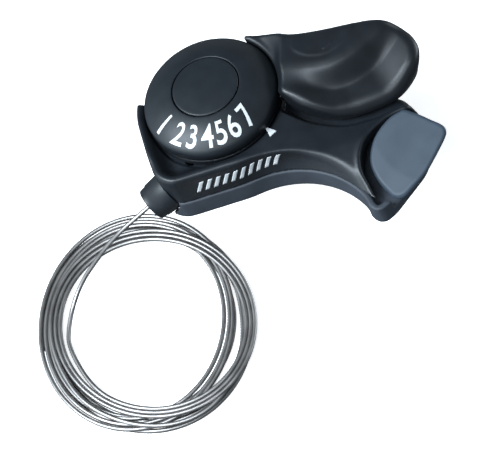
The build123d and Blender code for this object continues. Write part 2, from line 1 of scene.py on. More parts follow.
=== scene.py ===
"""The looks of the thumb shifter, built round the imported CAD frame.

Shapes are given in millimetres from the dial: x and y from its axis, z from its rim. point() turns
them into metres in the row's frame. Moulded parts are skins of signed-distance fields, which are
negative inside: rounded edges, blends and hollows are sums of a few plain shapes.
"""
import json
from cmath import phase, rect
from math import cos, pi, radians, sin

import bmesh
import bpy
import numpy as np
from mathutils import Matrix, Vector


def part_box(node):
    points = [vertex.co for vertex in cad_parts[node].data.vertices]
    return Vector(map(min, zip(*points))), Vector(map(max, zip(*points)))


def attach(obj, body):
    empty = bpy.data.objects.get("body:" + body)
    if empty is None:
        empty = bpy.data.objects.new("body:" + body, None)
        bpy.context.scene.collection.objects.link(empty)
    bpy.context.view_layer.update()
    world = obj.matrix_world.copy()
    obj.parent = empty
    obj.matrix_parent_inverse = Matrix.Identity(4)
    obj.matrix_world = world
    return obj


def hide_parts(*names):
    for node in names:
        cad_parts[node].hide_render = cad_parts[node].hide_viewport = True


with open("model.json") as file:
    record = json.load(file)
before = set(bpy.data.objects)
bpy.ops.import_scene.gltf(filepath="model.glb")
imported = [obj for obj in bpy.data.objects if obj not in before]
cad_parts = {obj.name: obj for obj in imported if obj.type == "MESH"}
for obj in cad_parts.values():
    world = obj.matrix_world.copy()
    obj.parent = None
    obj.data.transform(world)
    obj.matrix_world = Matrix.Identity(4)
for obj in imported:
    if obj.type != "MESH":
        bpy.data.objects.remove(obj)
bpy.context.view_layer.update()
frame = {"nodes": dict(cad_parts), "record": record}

MM = 0.001
ring_low, ring_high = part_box("dial_ring")
DIAL_R = (ring_high.x - ring_low.x) / 2 / MM
DOME_H = 4.5                                   # the dome's height over the rim
DIAL = Vector(((ring_low.x + ring_high.x) / 2, (ring_low.y + ring_high.y) / 2, ring_high.z - DOME_H * MM))


def height(metres):
    """A height in the row's frame as millimetres over the dial's rim."""
    return (metres - DIAL.z) / MM


def point(x, y, z):
    """Millimetres from the dial to metres in the row's frame."""
    return DIAL + Vector((x, y, z)) * MM


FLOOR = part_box("cable_coil")[0].z
FLOOR_Z = height(FLOOR)
BASE = height(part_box("lower_housing")[0].z)
SPLIT = height(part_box("lower_housing")[1].z)
GUARD = height(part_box("upper_housing")[1].z)
LEVER_LOW = height(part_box("thumb_lever")[0].z)
LEVER_TOP = height(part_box("thumb_lever")[1].z)
TRIGGER_LOW = height(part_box("release_trigger")[0].z)
ROOF = LEVER_LOW - 0.6                         # housing top under the lever
DECK = GUARD - 1.7                             # housing top by the pointer
CHAMBER_TOP = ROOF - 2.0
DIAL_FLOOR = -6.0                              # recess round the dial
BAY_FLOOR = height(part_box("mechanism_plate")[0].z)
TRAY_TOP = height(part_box("handlebar_clamp")[1].z)

# ------------------------------------------------------------------ camera
RIGHT = Vector((0.929, -0.245, -0.278))
UP = Vector((0.358, 0.787, 0.502))
VIEW_WIDTH = 130.2                             # mm seen across the picture at the object
CAMERA_FAR = 900.0
aim = DIAL + (RIGHT * 10.5 - UP * 33.9) * MM
back = RIGHT.cross(UP).normalized()
up = back.cross(RIGHT).normalized()
camera = bpy.data.objects.new("camera", bpy.data.cameras.new("camera"))
bpy.context.scene.collection.objects.link(camera)
camera.matrix_world = Matrix.Translation(aim + back * CAMERA_FAR * MM) @ Matrix(
    (up.cross(back), up, back)).transposed().to_4x4()
camera.data.sensor_width = 36.0
camera.data.lens = 36.0 * CAMERA_FAR / VIEW_WIDTH
bpy.context.scene.camera = camera


# ------------------------------------------------------------------ outlines
def arc(centre, radius, first, last, count=6):
    """Points on a circle from angle first to last, in degrees."""
    return [(centre[0] + radius * cos(radians(a)), centre[1] + radius * sin(radians(a)))
            for a in np.linspace(first, last, count)]


def bow(start, via, end, count=10):
    """Points on the circle through three points, from start to end."""
    a, b, c = (complex(*p) for p in (start, via, end))
    w = (c - a) / (b - a)
    centre = a + (b - a) * (w - abs(w) ** 2) / (2j * w.imag)
    sweep = phase((c - centre) / (a - centre))
    points = [centre + (a - centre) * rect(1, sweep * t) for t in np.linspace(0, 1, count)]
    return [(p.real, p.imag) for p in points]


def flowing(points, per_side=5):
    """A smooth line (Catmull-Rom) through the points."""
    p = np.asarray(points, float)
    p = np.concatenate([[2 * p[0] - p[1]], p, [2 * p[-1] - p[-2]]])
    line = []
    for a, b, c, d in zip(p, p[1:], p[2:], p[3:]):
        for t in np.arange(per_side) / per_side:
            line.append(0.5 * (2 * b + (c - a) * t + (2 * a - 5 * b + 4 * c - d) * t ** 2
                               + (3 * b - a - 3 * c + d) * t ** 3))
    return [tuple(q) for q in line] + [tuple(p[-2])]


MOST_CUT = 0.28                                # share of a side that a cut corner may take


def eased(points, reach, rounds=2):
    """The closed outline with each corner cut off, rounds times, at most reach from it."""
    p = np.asarray(points, float)
    for _ in range(rounds):
        side = np.roll(p, -1, 0) - p
        cut = side * np.minimum(reach / np.linalg.norm(side, axis=1, keepdims=True), MOST_CUT)
        p = np.stack([p + cut, p + side - cut], 1).reshape(-1, 2)
        reach /= 2
    return p


def plan(outline, cell=0.15, margin=6.0):
    """The signed distance to a closed outline as a function of x and y, read from a fine table."""
    outline = np.asarray(outline, float)
    cell = cell
    low = outline.min(0) - margin
    count = ((outline.max(0) + margin - low) / cell).astype(int) + 2
    gx = (low[0] + cell * np.arange(count[0]))[:, None]
    gy = (low[1] + cell * np.arange(count[1]))[None, :]
    nearest = np.full(count, 1e9)
    inside = np.zeros(count, bool)
    for (ax, ay), (bx, by) in zip(outline, np.roll(outline, -1, 0)):
        ex, ey = bx - ax, by - ay
        t = np.clip(((gx - ax) * ex + (gy - ay) * ey) / (ex * ex + ey * ey + 1e-12), 0, 1)
        nearest = np.minimum(nearest, (gx - ax - t * ex) ** 2 + (gy - ay - t * ey) ** 2)
        if ay != by:
            inside ^= ((ay > gy) != (by > gy)) & (gx < (bx - ax) * (gy - ay) / (by - ay) + ax)
    table = np.sqrt(nearest) * np.where(inside, -1, 1)

    def distance(x, y):
        u = np.clip((x - low[0]) / cell, 0, count[0] - 1.001)
        v = np.clip((y - low[1]) / cell, 0, count[1] - 1.001)
        i, j = u.astype(int), v.astype(int)
        u, v = u - i, v - j
        return ((1 - u) * ((1 - v) * table[i, j] + v * table[i, j + 1])
                + u * ((1 - v) * table[i + 1, j] + v * table[i + 1, j + 1]))

    return distance


# ------------------------------------------------------------------ fields
def smooth_min(a, b, width):
    """The lower of two values, blended where they are closer than width."""
    h = np.clip(0.5 + 0.5 * (b - a) / width, 0, 1)
    return b + (a - b) * h - width * h * (1 - h)


def smooth_max(a, b, width):
    """The higher of two values, blended where they are closer than width."""
    return -smooth_min(-a, -b, width)


def ramp(x, low, high):
    """0 below low, 1 above high, smooth between."""
    t = np.clip((x - low) / (high - low), 0, 1)
    return t * t * (3 - 2 * t)


def both(a, b, radius):
    """The overlap of two shapes, with the edge between them rounded."""
    p, q = a + radius, b + radius
    corner = np.sqrt(np.maximum(p, 0) ** 2 + np.maximum(q, 0) ** 2)
    return corner + np.minimum(np.maximum(p, q), 0) - radius


def gradient(field, points, nudge=0.02):
    """The field's slope at each point."""
    return np.stack([(field(*(points + nudge * axis).T) - field(*(points - nudge * axis).T)) / (2 * nudge)
                     for axis in np.eye(3)], 1)


# ------------------------------------------------------------------ meshes
def make_mesh(name, vertices, faces, body, material):
    """A smooth-shaded piece from vertices in mm from the dial, riding on a body."""
    data = bpy.data.meshes.new(name)
    metres = np.asarray(vertices, float) * MM + np.array(DIAL)
    data.from_pydata(metres.tolist(), [], [[int(i) for i in face] for face in faces])
    data.validate()
    data.update()
    data.polygons.foreach_set("use_smooth", [True] * len(data.polygons))
    data.materials.append(material)
    piece = bpy.data.objects.new(name, data)
    bpy.context.scene.collection.objects.link(piece)
    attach(piece, body)
    return piece


def skin(name, field, low, high, body, material, spacing=0.42):
    """A quad mesh over field(x, y, z) == 0 inside the box low, high: surface nets, moved on to the field."""
    spacing = spacing
    axes = [np.arange(a, b + spacing, spacing) for a, b in zip(low, high)]
    value = field(axes[0][:, None, None], axes[1][None, :, None], axes[2][None, None, :])
    value = value + np.zeros([len(a) for a in axes])
    shape = [n - 1 for n in value.shape]
    total, count = np.zeros(shape + [3]), np.zeros(shape)
    crossings = []
    for axis in range(3):
        first = np.moveaxis(value, axis, 0)[:-1]
        second = np.moveaxis(value, axis, 0)[1:]
        crosses = (first < 0) != (second < 0)
        share = np.where(crosses, first / np.where(crosses, first - second, 1), 0)
        crosses, share = np.moveaxis(crosses, 0, axis), np.moveaxis(share, 0, axis)
        crossings.append(crosses)
        others = [a for a in range(3) if a != axis]
        for da, db in ((0, 0), (0, 1), (1, 0), (1, 1)):
            cut = [slice(None)] * 3
            cut[others[0]] = slice(da, da + shape[others[0]])
            cut[others[1]] = slice(db, db + shape[others[1]])
            hit = crosses[tuple(cut)]
            count += hit
            total[..., axis] += hit * share[tuple(cut)]
            total[..., others[0]] += hit * da
            total[..., others[1]] += hit * db
    active = count > 0
    number = np.full(shape, -1)
    number[active] = np.arange(active.sum())
    vertices = np.argwhere(active) + total[active] / count[active][:, None]
    vertices = vertices * spacing + np.array([a[0] for a in axes])
    faces = []
    for axis in range(3):
        a, b = ((1, 2), (2, 0), (0, 1))[axis]
        i = np.argwhere(crossings[axis])
        i = i[(i[:, a] > 0) & (i[:, b] > 0) & (i[:, a] < shape[a]) & (i[:, b] < shape[b])]
        inward = value[tuple(i.T)] < 0
        ring = []
        for da, db in ((-1, -1), (0, -1), (0, 0), (-1, 0)):
            cell = i.copy()
            cell[:, a] += da
            cell[:, b] += db
            ring.append(number[tuple(cell.T)])
        quads = np.stack(ring, 1)
        faces.append(np.where(inward[:, None], quads, quads[:, ::-1]))
    for _ in range(3):
        slope = gradient(field, vertices)
        move = -field(*vertices.T)[:, None] * slope / np.maximum((slope ** 2).sum(1), 0.2)[:, None]
        reach = np.linalg.norm(move, axis=1, keepdims=True)
        vertices += move * np.minimum(1, 0.4 * spacing / np.maximum(reach, 1e-9))
    return make_mesh(name, vertices, np.concatenate(faces), body, material)


def turned(name, profile, body, material, origin=(0, 0, 0), axis=(0, 0, 1), segments=160):
    """A closed profile of radius and height pairs, turned about an axis through origin."""
    axis = Vector(axis).normalized()
    side = axis.orthogonal().normalized()
    over = axis.cross(side)
    vertices = []
    for k in range(segments):
        way = side * cos(2 * pi * k / segments) + over * sin(2 * pi * k / segments)
        vertices += [tuple(Vector(origin) + way * r + axis * h) for r, h in profile]
    n = len(profile)
    solid = profile[0][0] == 0                 # starts and ends on the axis, so nothing closes it there
    faces = []
    for k in range(segments):
        here, there = k * n, (k + 1) % segments * n
        faces += [(here + j, there + j, there + (j + 1) % n, here + (j + 1) % n) for j in range(n - solid)]
    piece = make_mesh(name, vertices, faces, body, material)
    joined = bmesh.new()
    joined.from_mesh(piece.data)
    bmesh.ops.remove_doubles(joined, verts=joined.verts, dist=1e-7)
    joined.to_mesh(piece.data)
    joined.free()
    return piece


PRINT_SUNK = 0.15                              # how far a print's back lies under the surface


def printed(name, starts, way, field, proud, body, material):
    """A thin print on a field's surface. Each point of the grid starts goes along way to the surface."""
    shape = starts.shape[:2]
    near, far = starts.reshape(-1, 3), starts.reshape(-1, 3) + np.asarray(way, float)
    for _ in range(30):
        middle = (near + far) / 2
        outside = (field(*middle.T) > 0)[:, None]
        near, far = np.where(outside, middle, near), np.where(outside, far, middle)
    normal = gradient(field, near)
    normal /= np.linalg.norm(normal, axis=1, keepdims=True)
    n, m = shape
    number = np.arange(n * m).reshape(n, m)
    quads = np.stack([number[:-1, :-1], number[1:, :-1], number[1:, 1:], number[:-1, 1:]], -1).reshape(-1, 4)
    rim = np.concatenate([number[:, 0], number[-1, 1:], number[-2::-1, -1], number[0, -2:0:-1]])
    after = np.roll(rim, -1)
    side = np.stack([rim, after, after + n * m, rim + n * m], 1)
    faces = np.concatenate([quads, quads[:, ::-1] + n * m, side[:, ::-1]])
    vertices = np.concatenate([near + normal * proud, near - normal * PRINT_SUNK])
    return make_mesh(name, vertices, faces, body, material)


# ------------------------------------------------------------------ materials
MOTTLES_PER_METRE = 220
UNEVEN_GLOSS = 0.06
GRAIN_DEPTH = 0.04                             # mm


def surface(name, colour, roughness, grain, grain_size, variation, metallic=0.0, specular=0.5):
    """A material with fine bumps of grain_size mm, mottled colour and uneven gloss."""
    material = bpy.data.materials.new(name)
    material.use_nodes = True
    nodes, links = material.node_tree.nodes, material.node_tree.links
    shader = nodes["Principled BSDF"]
    shader.inputs["Metallic"].default_value = metallic
    shader.inputs["Specular IOR Level"].default_value = specular
    place = nodes.new("ShaderNodeTexCoord")
    mottle = nodes.new("ShaderNodeTexNoise")
    mottle.inputs["Scale"].default_value = MOTTLES_PER_METRE
    mottle.inputs["Detail"].default_value = 5
    links.new(place.outputs["Object"], mottle.inputs["Vector"])
    tint = nodes.new("ShaderNodeValToRGB")
    for element, stop, gain in zip(tint.color_ramp.elements, (0.3, 0.7), (1 - variation, 1 + variation)):
        element.position = stop
        element.color = (*[c * gain for c in colour], 1)
    links.new(mottle.outputs["Fac"], tint.inputs["Fac"])
    links.new(tint.outputs["Color"], shader.inputs["Base Color"])
    gloss = nodes.new("ShaderNodeMapRange")
    gloss.inputs["To Min"].default_value = roughness - UNEVEN_GLOSS
    gloss.inputs["To Max"].default_value = roughness + UNEVEN_GLOSS
    links.new(mottle.outputs["Fac"], gloss.inputs["Value"])
    links.new(gloss.outputs["Result"], shader.inputs["Roughness"])
    fine = nodes.new("ShaderNodeTexNoise")
    fine.inputs["Scale"].default_value = 1 / (grain_size * MM)
    fine.inputs["Detail"].default_value = 2
    links.new(place.outputs["Object"], fine.inputs["Vector"])
    bump = nodes.new("ShaderNodeBump")
    bump.inputs["Strength"].default_value = grain
    bump.inputs["Distance"].default_value = GRAIN_DEPTH * MM
    links.new(fine.outputs["Fac"], bump.inputs["Height"])
    links.new(bump.outputs["Normal"], shader.inputs["Normal"])
    return material


def plastic(name, colour, roughness, grain=0.25, grain_size=0.22, variation=0.15, specular=0.5):
    """Moulded plastic with a spark-eroded grain."""
    return surface(name, colour, roughness, grain, grain_size, variation, specular=specular)


def metal(name, colour, roughness, grain=0.2):
    """Plated or drawn steel with fine scratches."""
    return surface(name, colour, roughness, grain, 0.1, 0.12, metallic=1.0)


shell_black = plastic("shell_black", (0.0065, 0.0085, 0.0115), 0.42, specular=0.38)
# the skirt is a lighter, matte moulding, and its colour is also raised as painted bounce light: it stands in
# for the light the white floor would throw up onto it, which the floor is kept from giving below
skirt_black = plastic("skirt_black", (0.027, 0.033, 0.043), 0.6, grain=0.35, specular=0.4)
lever_black = plastic("lever_black", (0.0055, 0.0072, 0.0095), 0.40, grain=0.3, specular=0.42)
dial_black = plastic("dial_black", (0.0060, 0.0085, 0.0115), 0.46, grain=0.2, specular=0.38)
trigger_blue = plastic("trigger_blue", (0.034, 0.047, 0.063), 0.42, grain=0.08, variation=0.08,
                       specular=0.17)
print_white = plastic("print_white", (0.54, 0.55, 0.56), 0.5, grain=0.05, variation=0.04)
clamp_black = plastic("clamp_black", (0.018, 0.018, 0.019), 0.42, grain=0.5, grain_size=0.5)
cable_steel = metal("cable_steel", (0.340, 0.324, 0.314), 0.44)
bolt_steel = metal("bolt_steel", (0.36, 0.36, 0.37), 0.33)
plate_steel = metal("plate_steel", (0.24, 0.24, 0.25), 0.38)
acetal = plastic("acetal", (0.55, 0.55, 0.52), 0.45)

CARRIED = {
    "clamp_black": clamp_black, "screw_steel": bolt_steel, "spring_steel": bolt_steel,
    "plate_steel": plate_steel, "inner_white_plastic": acetal, "cable_steel": cable_steel,
    "black_shell": shell_black, "black_skirt": skirt_black, "lever_black": lever_black,
    "dial_black": dial_black, "trigger_blue_grey": trigger_blue,
}
for row in frame["record"]["subparts"]:
    data = frame["nodes"][row["node"]].data
    data.materials.clear()
    data.materials.append(CARRIED[row["material_slot"]])

# ------------------------------------------------------------------ the free cable
CABLE_D = 1.2
ROUTE = [
    (-24.9, -15.9, -14.0), (-32.9, -17.5, -16.4), (-39.8, -16.9, -22.0), (-45.8, -15.4, -29.6),
    (-51.6, -15.4, -35.6), (-56.4, -18.6, -39.6), (-59.6, -24.4, -40.8), (-61.2, -30.6, -41.0),
]
COIL = (-39.7, -31.6)
# Each layer of turns, from the top down: turns, first and last radius on the short axis, centre's
# offset, how much longer than wide, and how far it is turned.
LAYERS = [
    (3, 23.8, 27.3, (2.4, -1.9), 1.18, 26.0),
    (4, 28.6, 23.8, (-1.7, 1.1), 1.22, -4.0),
    (4, 24.0, 29.0, (0.5, -0.3), 1.21, 12.0),
]
POINTS_PER_TURN = 16
COIL_FROM = 185.0                              # where round the coil the lead joins it
SETTLE_TURNS = 0.6                             # part of a turn in which one layer passes into the next
WANDER, WANDER_WAVES = 0.045, 2.6              # unevenness of a layer's radius


def coil_points():
    """Loose layers of turns that cross each other, because each lies a little differently."""
    points, gone = [], 0.0
    for layer, (turns, first, last, offset, longer, turned_by) in enumerate(LAYERS):
        old_offset, old_longer, old_turned_by = LAYERS[max(layer - 1, 0)][3:]
        for k in range(turns * POINTS_PER_TURN):
            share = k / (turns * POINTS_PER_TURN)
            settle = float(ramp(k / POINTS_PER_TURN, 0, SETTLE_TURNS)) if layer else 1.0
            wander = WANDER * sin(2 * pi * WANDER_WAVES * share + layer)
            radius = first + (last - first) * (share + wander)
            centre = [old + (new - old) * settle for old, new in zip(old_offset, offset)]
            stretch = old_longer + (longer - old_longer) * settle
            tilt = radians(old_turned_by + (turned_by - old_turned_by) * settle)
            angle = radians(COIL_FROM) + 2 * pi * (gone + k / POINTS_PER_TURN)
            a, b = radius * cos(angle), radius * stretch * sin(angle)
            levels_up = len(LAYERS) - 1 - layer + (1 - settle if layer else 0)
            points.append((COIL[0] + centre[0] + a * cos(tilt) - b * sin(tilt),
                           COIL[1] + centre[1] + a * sin(tilt) + b * cos(tilt),
                           FLOOR_Z + CABLE_D * (0.5 + levels_up)))
        gone += turns
    return points


def smooth_line(points, resolution=10):
    """Points read from the NURBS spline with these control points, in mm from the dial."""
    curve = bpy.data.curves.new("route", "CURVE")
    curve.dimensions = "3D"
    curve.resolution_u = resolution
    spline = curve.splines.new("NURBS")
    spline.points.add(len(points) - 1)
    for target, p in zip(spline.points, points):
        target.co = (*p, 1)
    spline.order_u = 3
    spline.use_endpoint_u = True
    carrier = bpy.data.objects.new("route", curve)
    bpy.context.scene.collection.objects.link(carrier)
    data = bpy.data.meshes.new_from_object(carrier)
    line = np.array([v.co for v in data.vertices])
    bpy.data.objects.remove(carrier)
    bpy.data.meshes.remove(data)
    return line


def evenly(line, spacing):
    """The same line with its points spacing apart."""
    along = np.concatenate([[0], np.cumsum(np.linalg.norm(np.diff(line, axis=0), axis=1))])
    marks = np.linspace(0, along[-1], int(along[-1] / spacing) + 1)
    return np.stack([np.interp(marks, along, line[:, k]) for k in range(3)], 1)


RIDGE, GROOVE = 1.05, 0.87                     # of the rope's radius
OUTER_WIRES, LAY = 8, 7.0


def stranded(name, line, diameter, wires, lay, body, material):
    """A wire rope's surface: a ridge for each outer wire, wound round the line once in each lay."""
    tangent = np.gradient(line, axis=0)
    spacing = np.linalg.norm(tangent, axis=1)[:, None]
    tangent /= spacing
    side = np.cross(tangent, (0, 0, 1))
    side /= np.linalg.norm(side, axis=1)[:, None]
    over = np.cross(side, tangent)
    around = wires * 2
    wound = 2 * pi * np.cumsum(spacing)[:, None] / lay
    rings = []
    for k in range(around):
        angle = 2 * pi * k / around + wound
        radius = diameter / 2 * (RIDGE if k % 2 == 0 else GROOVE)
        rings.append(line + radius * (np.cos(angle) * side + np.sin(angle) * over))
    vertices = np.stack(rings, 1).reshape(-1, 3)
    n = len(line)
    i, k = np.meshgrid(np.arange(n - 1), np.arange(around), indexing="ij")
    after = (k + 1) % around
    faces = np.stack([i * around + k, i * around + after,
                      (i + 1) * around + after, (i + 1) * around + k], -1)
    ends = [list(range(around))[::-1], [(n - 1) * around + k for k in range(around)]]
    return make_mesh(name, vertices, faces.reshape(-1, 4).tolist() + ends, body, material)


cable_path = evenly(smooth_line(ROUTE + coil_points()), 0.5)
cable = stranded("inner_cable", cable_path, CABLE_D, OUTER_WIRES, LAY, "housing", cable_steel)
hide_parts("cable_lead", "cable_coil")

# ------------------------------------------------------------------ housing
HOUSING_R = 21.8
RECESS_R = 18.6                                # round the dial
RING_FLOOR_R = 18.2                            # out to here the recess has a floor
WELL_R = 14.4                                  # the opening under the dial
SHELL_WALL, TRAY_WALL = 1.5, 1.8
CHAMBER_END = -27                              # the mechanism's chamber ends here, towards the rider
SEAT_R, TAIL_R = 5.7, 3.5                      # the cable stop's hole in the housing, outside and inside
housing_edge = plan(eased(
    arc((0, 0), HOUSING_R, -16, 180, 32)
    + bow((-HOUSING_R, -13.5), (-20.2, -18.4), (-16.0, -21.5), 7)
    + bow((1.0, -22.8), (19.6, -27.3), (29.0, -40.2), 12)
    + [(28.9, -42.6), (31.1, -45.3), (34.6, -44.2), (45.7, -35.8), (49.6, -29.0), (50.2, -23.0),
       (47.5, -16.0), (38.0, -10.5)], 1.2))
lever_edge = plan(eased(
    arc((0, 0), 18.45, -22, 46, 16)
    + flowing([(13.6, 14.2), (18.0, 11.8), (22.2, 9.0), (26.6, 6.7), (33.6, 4.8), (40.4, 3.4),
               (46.2, 2.1), (50.3, 0.4), (53.6, -2.6), (55.5, -6.5), (55.7, -10.4), (53.6, -15.0),
               (47.9, -18.4), (39.5, -19.5), (30.6, -18.6), (23.4, -14.7), (18.8, -9.9)]), 0.5, rounds=1))
bay = plan(eased(
    flowing([(50.0, -20.6), (41.2, -21.4), (33.9, -26.0), (30.9, -32.4), (31.4, -38.5)])
    + bow((31.4, -38.5), (33.8, -42.6), (39.4, -43.6), 6)[1:]
    + [(60.0, -40.0), (60.0, -22.0)], 0.8))
LEVER_FROM, LEVER_TO = radians(-20), radians(152)    # the sector that the lever sweeps
STOP_DIR = Vector((-0.939, -0.188, -0.2865)).normalized()
STOP_LEN = 6.5
STOP_SEAT = Vector(ROUTE[0]) - STOP_DIR * STOP_LEN
POINTER = [(10.9, -13.5), (13.5, -15.8), (11.4, -16.9)]


def turn_from_left(x, y):
    """The angle round the dial, from -270 degrees through the rider's side, -90, to 90."""
    angle = np.degrees(np.arctan2(y, x))
    return np.where(angle > 90, angle - 360, angle)


def housing_top(x, y):
    """The height of the housing's top: guard, trough, deck, arm, the bay's lip, room for the lever."""
    past_deck = 0.793 * x - 0.609 * y - 20     # how far along the arm from the deck's end
    arm = ROOF + 1.2 * ramp(-y, 20, 26) * (1 - ramp(-y, 32, 40))
    top = smooth_max(DECK - 0.278 * smooth_max(past_deck, 0, 8), arm, 2.5)
    top = top - 0.29 * smooth_max(-28 - y, 0, 4)
    inward = -housing_edge(x, y)
    trough = smooth_max(GUARD - 1.1 * smooth_max(inward - 1.9, 0, 1.6), DIAL_FLOOR + 0.3, 1.5)
    top = trough + (top - trough) * ramp(turn_from_left(x, y), -108, -62)
    beyond = np.maximum(x * sin(LEVER_FROM) - y * cos(LEVER_FROM),
                        y * cos(LEVER_TO) - x * sin(LEVER_TO))
    beyond = np.minimum(beyond, lever_edge(x, y) - 0.5)
    lip = np.exp(-((bay(x, y) - 0.7) / 0.7) ** 2)
    ring_floor = (DIAL_FLOOR - ROOF) * ramp(RING_FLOOR_R - np.hypot(x, y), 0, 0.3)
    under_lever = ROOF + 2.5 * np.maximum(beyond, 0) + ring_floor
    return smooth_min(top, under_lever, 0.8) + 0.3 * lip


def upper_wall(x, y, z):
    """Distance to the upper housing's side: it leans in, and is hollowed along the rider's side."""
    rise = np.clip((z - SPLIT) / (DECK - SPLIT), 0, 1)
    along_arm = ramp(x, -2, 14) * (1 - ramp(x, 29, 36)) * ramp(-y, 14, 19)
    return housing_edge(x, y) + 0.6 + 0.5 * rise + (0.25 + 0.95 * along_arm) * np.sin(pi * rise)


def upper_outside(x, y, z):
    """The upper housing as if it were solid, with its top edge rounded."""
    round_by = 1.0 + 0.8 * ramp(x, 8, 24) * ramp(-y, 12, 18) + 1.5 * ramp(-x, -6, 6) * ramp(-y, 8, 14)
    return both(upper_wall(x, y, z), z - housing_top(x, y), round_by)


def stop_bore(x, y, z, radius, start, end):
    """A cylinder on the cable stop's axis, between two distances from its seat."""
    px, py, pz = x - STOP_SEAT.x, y - STOP_SEAT.y, z - STOP_SEAT.z
    h = px * STOP_DIR.x + py * STOP_DIR.y + pz * STOP_DIR.z
    off = np.sqrt(np.maximum(px ** 2 + py ** 2 + pz ** 2 - h ** 2, 0))
    return np.maximum(off - radius, np.maximum(start - h, h - end))


def with_stop_hole(shape, x, y, z):
    """A housing shape less the cable stop's seat and the narrower hole for its tail."""
    shape = np.maximum(shape, -stop_bore(x, y, z, SEAT_R, 0, 20))
    return np.maximum(shape, -stop_bore(x, y, z, TAIL_R, -10, 1))


def upper_shell(x, y, z):
    """The upper housing, with the dial's recess, the chamber inside it and the trigger's bay."""
    r = np.hypot(x, y)
    shape = np.maximum(upper_outside(x, y, z), SPLIT + 0.12 - z)
    shape = smooth_max(shape, -np.maximum(r - RECESS_R, DIAL_FLOOR - z), 0.4)
    shape = np.maximum(shape, WELL_R - r)
    chamber = np.maximum(np.maximum(upper_wall(x, y, z) + SHELL_WALL, z - CHAMBER_TOP), CHAMBER_END - y)
    shape = np.maximum(shape, -chamber)
    shape = smooth_max(shape, -bay(x, y), 0.7)
    return with_stop_hole(shape, x, y, z)


def lower_shell(x, y, z):
    """The lower housing: a tray with a recess under it, and the floor of the trigger's bay."""
    side = housing_edge(x, y) - 0.3 + 0.1 * (z - BASE)
    within = housing_edge(x, y) + TRAY_WALL
    shape = both(both(side, z - SPLIT, 0.3), BASE - z, 0.9)
    shape = np.maximum(shape, -np.maximum(within, z - TRAY_TOP))
    shape = np.maximum(shape, -np.maximum(within, BAY_FLOOR - z))
    shape = smooth_max(shape, -np.maximum(bay(x, y), BAY_FLOOR - z), 0.4)
    return with_stop_hole(shape, x, y, z)


upper = skin("upper_shell", upper_shell, (-24, -47, SPLIT - 1), (53, 24, GUARD + 1.5),
             "housing", shell_black)
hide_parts("upper_housing")
lower = skin("lower_shell", lower_shell, (-24, -47, BASE - 1), (53, 24, SPLIT + 1),
             "housing", skirt_black)
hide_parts("lower_housing")

stop_profile = [(1.0, 1.5), (2.55, 1.5), (2.55, STOP_LEN - 0.2), (2.75, STOP_LEN)]
stop_profile += arc((4.35, STOP_LEN - 0.3), 0.3, 90, 0, 5) + [(4.8, 4.6), (5.05, 4.45), (5.3, 0.6)]
stop_profile += arc((5.1, 0.2), 0.35, 20, -80, 5) + [(3.4, -0.15), (3.4, -4.0), (1.0, -4.0)]
stop = turned("cable_stop_barrel", stop_profile[::-1], "housing", shell_black,
              origin=STOP_SEAT, axis=STOP_DIR, segments=96)
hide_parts("cable_stop")

# pointer and a plain row of slanted bars on the rider's side
triangle = np.array(POINTER)
corners = np.array([[triangle[0], triangle[0]], [triangle[1], triangle[2]]])
share = np.linspace(0, 1, 9)
rows = corners[0][None] + (corners[1] - corners[0])[None] * share[:, None, None]
grid = rows[:, :1] + (rows[:, 1:] - rows[:, :1]) * share[None, :, None]
grid = np.concatenate([grid, np.full(grid.shape[:2] + (1,), 3.0)], -1)
printed("pointer_mark", grid, (0, 0, -12), upper_outside, 0.06, "housing", print_white)

BARS, BAR_PITCH, BAR_W, BAR_H, BAR_LEAN = 10, 2.35, 1.15, 3.7, 0.5
FIRST_BAR_X, BARS_Z = -10.3, -7.5
for k in range(BARS):
    middle = FIRST_BAR_X + k * BAR_PITCH
    x, z = np.meshgrid(np.linspace(-BAR_W / 2, BAR_W / 2, 5), np.linspace(-BAR_H / 2, BAR_H / 2, 9),
                       indexing="ij")
    starts = np.stack([middle + x + BAR_LEAN * z, np.full_like(x, -32.0), BARS_Z + z], -1)
    printed(f"stripe_{k + 1}", starts, (0, 17, 0), upper_outside, 0.05, "housing", print_white)

# ------------------------------------------------------------------ lever
# the upper side of the ridge that parts the lever's flat back from the thumb's hollow
past_ridge = plan(eased(flowing(
    [(10.0, 1.5), (19.9, -1.5), (25.5, -4.0), (29.4, -5.6), (33.7, -6.3), (39.0, -5.2),
     (43.3, -3.2), (47.6, -0.8), (51.0, 3.0), (53.0, 9.0)])
    + [(53.0, 30.0), (5.0, 30.0)], 0.5, rounds=1), margin=20.0)
pad = plan(eased(flowing(
    [(26.0, 5.6), (24.4, 2.4), (25.3, -0.2), (28.0, -2.7), (32.3, -4.0), (37.0, -2.9), (41.5, 0.4)])
    + [(44.0, 8.0), (27.0, 9.0)], 0.5, rounds=1))
COLLAR = 0.6                                   # the collar's height over the dial's rim
PLATE_R, PLATE_Z, PLATE_HALF, HUB_R = 17.9, -4.55, 1.0, 4.5


